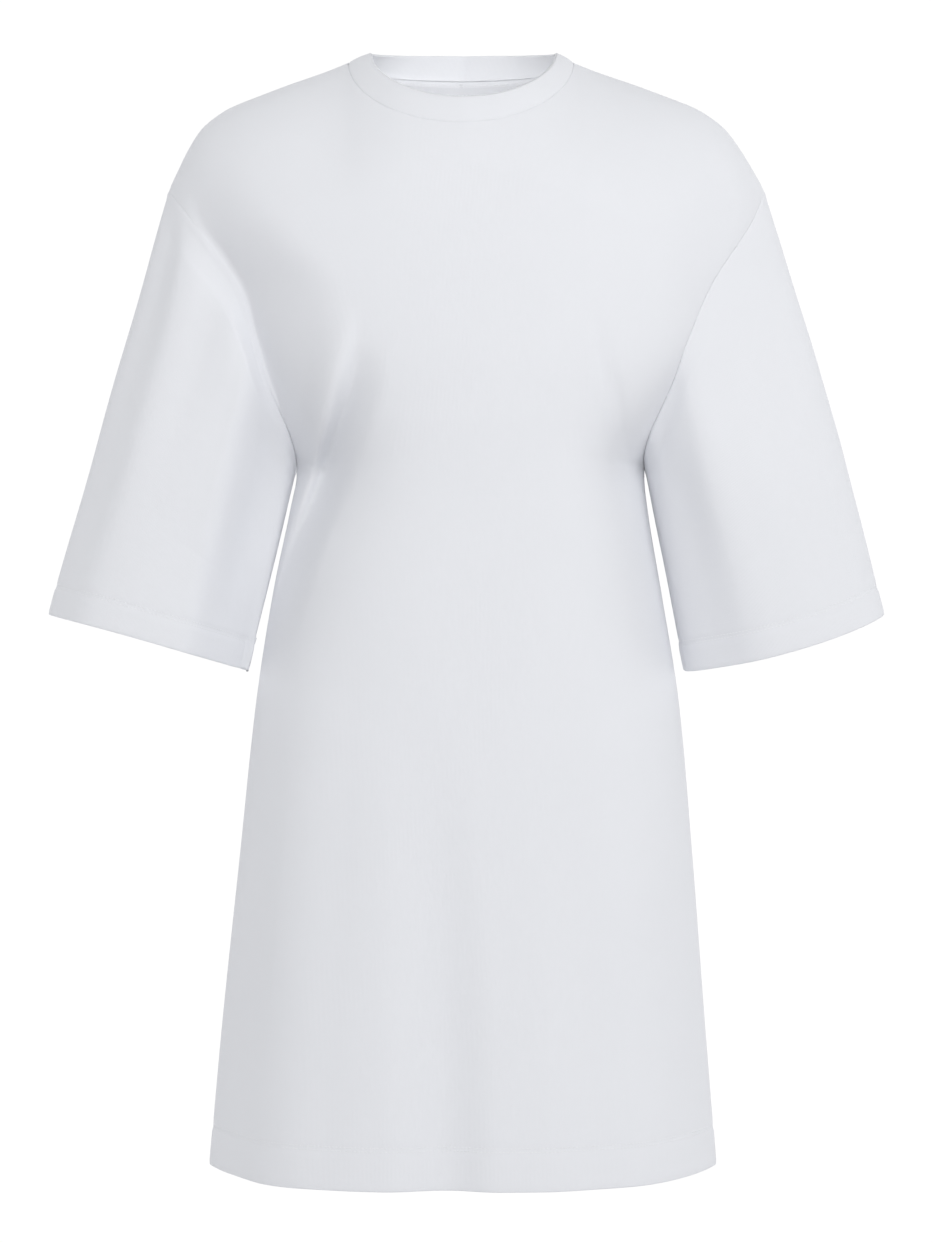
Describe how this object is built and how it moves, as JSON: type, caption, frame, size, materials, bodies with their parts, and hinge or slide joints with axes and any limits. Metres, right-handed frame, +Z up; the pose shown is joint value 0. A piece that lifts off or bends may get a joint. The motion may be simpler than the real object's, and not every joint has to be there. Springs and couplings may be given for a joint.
{
  "type": "t-shirt dress",
  "caption": "Knee-clearing A-line t-shirt dress with dropped shoulders, wide elbow-length sleeves and a banded crew neck, filled out and hollow.",
  "frame": {"origin": "middle of the neck ring, level with the high points of the shoulders, where the wearer's neck and shoulders hold the dress", "axes": "+Z up, from the hem to the neck; the front faces -Y; +X is to the right as seen from the front, the wearer's left"},
  "size_m": [0.694, 0.2959, 0.9292],
  "materials": {
    "body_jersey": "smooth heavy cotton jersey, matt, cool white",
    "band_jersey": "the same jersey doubled, matt, cool white",
    "tape": "narrow herringbone tape, matt, cool white"
  },
  "bodies": {
    "root": {"front_panel": "body_jersey", "back_panel": "body_jersey", "left_sleeve": "body_jersey", "right_sleeve": "body_jersey", "neckband": "band_jersey", "neck_tape": "tape"}
  },
  "joints": []
}
